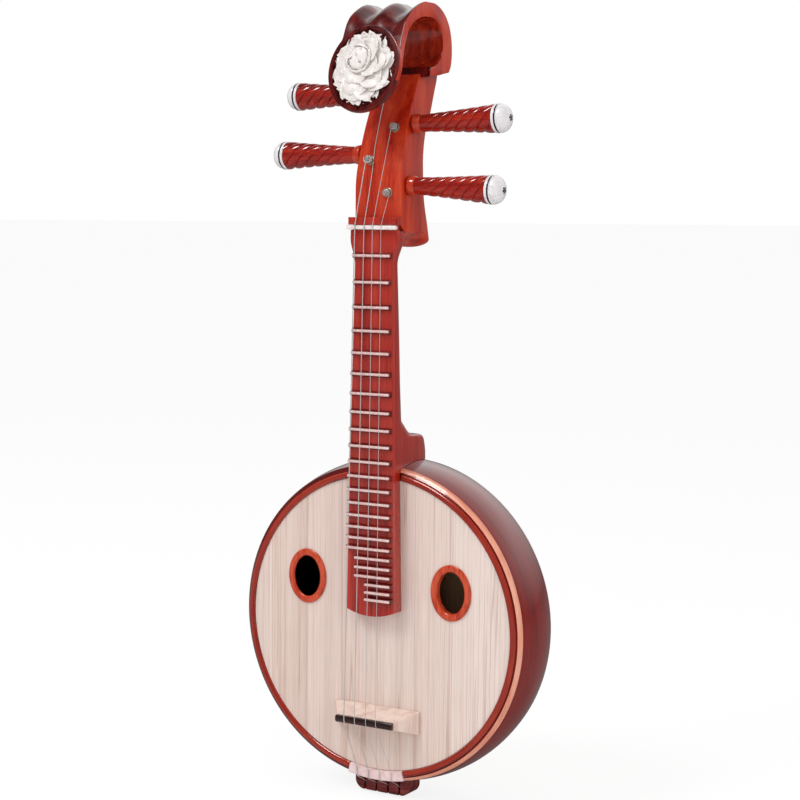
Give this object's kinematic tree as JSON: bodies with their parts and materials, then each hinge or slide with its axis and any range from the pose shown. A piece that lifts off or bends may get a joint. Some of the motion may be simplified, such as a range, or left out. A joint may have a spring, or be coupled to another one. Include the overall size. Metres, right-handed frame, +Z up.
{
  "type": "ruan",
  "caption": "Round-bodied plucked lute with a fretted neck, four strings, worm-geared tuning pegs and a scroll head with a carved disc.",
  "frame": {"origin": "centre of the back board's outer face", "axes": "+Z up the neck, +Y out of the back board, +X to the right of someone facing the soundboard"},
  "size_m": [0.2824, 0.1078, 0.6782],
  "materials": {
    "soundboard_wood": "satin",
    "dark_lacquer": "gloss lacquer",
    "orange_wood": "satin lacquer",
    "back_wood": "satin",
    "bone": "polished",
    "bridge_wood": "satin",
    "saddle_wood": "satin",
    "fret_bone": "polished",
    "string_steel": "drawn wire",
    "cap_plastic": "polished",
    "tuner_steel": "satin"
  },
  "bodies": {
    "instrument": {"soundboard": "soundboard_wood", "rib_ring": "dark_lacquer", "rim_bead_left": "dark_lacquer", "rim_bead_right": "dark_lacquer", "neck": "dark_lacquer", "fingerboard": "dark_lacquer", "head": "dark_lacquer", "tailpiece": "dark_lacquer", "soundhole_ring_left": "orange_wood", "soundhole_ring_right": "orange_wood", "back_board": "back_wood", "tail_saddle": "bone", "nut": "bone", "flower_carving": "bone", "bridge_base": "bridge_wood", "bridge_saddle": "saddle_wood", "fret_01": "fret_bone", "fret_02": "fret_bone", "fret_03": "fret_bone", "fret_04": "fret_bone", "fret_05": "fret_bone", "fret_06": "fret_bone", "fret_07": "fret_bone", "fret_08": "fret_bone", "fret_09": "fret_bone", "fret_10": "fret_bone", "fret_11": "fret_bone", "fret_12": "fret_bone", "fret_13": "fret_bone", "fret_14": "fret_bone", "fret_15": "fret_bone", "fret_16": "fret_bone", "fret_17": "fret_bone", "fret_18": "fret_bone", "fret_19": "fret_bone", "fret_20": "fret_bone", "fret_21": "fret_bone", "fret_22": "fret_bone", "fret_23": "fret_bone", "fret_24": "fret_bone", "string_1": "string_steel", "string_2": "string_steel", "string_3": "string_steel", "string_4": "string_steel"},
    "peg_1": {"peg_handle_1": "dark_lacquer", "peg_cap_1": "cap_plastic", "peg_worm_1": "tuner_steel"},
    "post_1": {"string_post_1": "tuner_steel"},
    "peg_2": {"peg_handle_2": "dark_lacquer", "peg_cap_2": "cap_plastic", "peg_worm_2": "tuner_steel"},
    "post_2": {"string_post_2": "tuner_steel"},
    "peg_3": {"peg_handle_3": "dark_lacquer", "peg_cap_3": "cap_plastic", "peg_worm_3": "tuner_steel"},
    "post_3": {"string_post_3": "tuner_steel"},
    "peg_4": {"peg_handle_4": "dark_lacquer", "peg_cap_4": "cap_plastic", "peg_worm_4": "tuner_steel"},
    "post_4": {"string_post_4": "tuner_steel"}
  },
  "joints": [
    {"name": "peg_turn_1", "type": "hinge", "parent": "instrument", "child": "peg_1", "pos_m": [0.01006, -0.04823, 0.37473], "axis": [0.999, -0.0009, -0.0436], "continuous": true},
    {"name": "post_turn_1", "type": "hinge", "parent": "instrument", "child": "post_1", "pos_m": [0.00975, -0.04837, 0.36774], "axis": [0, -0.9998, 0.0209], "continuous": true},
    {"name": "peg_turn_2", "type": "hinge", "parent": "instrument", "child": "peg_2", "pos_m": [-0.00975, -0.04674, 0.39985], "axis": [1, 0, 0], "continuous": true},
    {"name": "post_turn_2", "type": "hinge", "parent": "instrument", "child": "post_2", "pos_m": [-0.00975, -0.04817, 0.393], "axis": [0, -0.9789, 0.2045], "continuous": true},
    {"name": "peg_turn_3", "type": "hinge", "parent": "instrument", "child": "peg_3", "pos_m": [0.00944, -0.03883, 0.42525], "axis": [0.999, 0.0161, 0.0405], "continuous": true},
    {"name": "post_turn_3", "type": "hinge", "parent": "instrument", "child": "post_3", "pos_m": [0.00975, -0.04141, 0.41875], "axis": [0, -0.9295, 0.3689], "continuous": true},
    {"name": "peg_turn_4", "type": "hinge", "parent": "instrument", "child": "peg_4", "pos_m": [-0.00975, -0.02598, 0.45141], "axis": [1, 0, 0], "continuous": true},
    {"name": "post_turn_4", "type": "hinge", "parent": "instrument", "child": "post_4", "pos_m": [-0.00975, -0.02907, 0.44512], "axis": [0, -0.8977, 0.4407], "continuous": true}
  ],
  "couplings": [
    {"joint": "post_turn_1", "follows": "peg_turn_1", "ratio": 0.083333},
    {"joint": "post_turn_2", "follows": "peg_turn_2", "ratio": 0.083333},
    {"joint": "post_turn_3", "follows": "peg_turn_3", "ratio": 0.083333},
    {"joint": "post_turn_4", "follows": "peg_turn_4", "ratio": 0.083333}
  ]
}
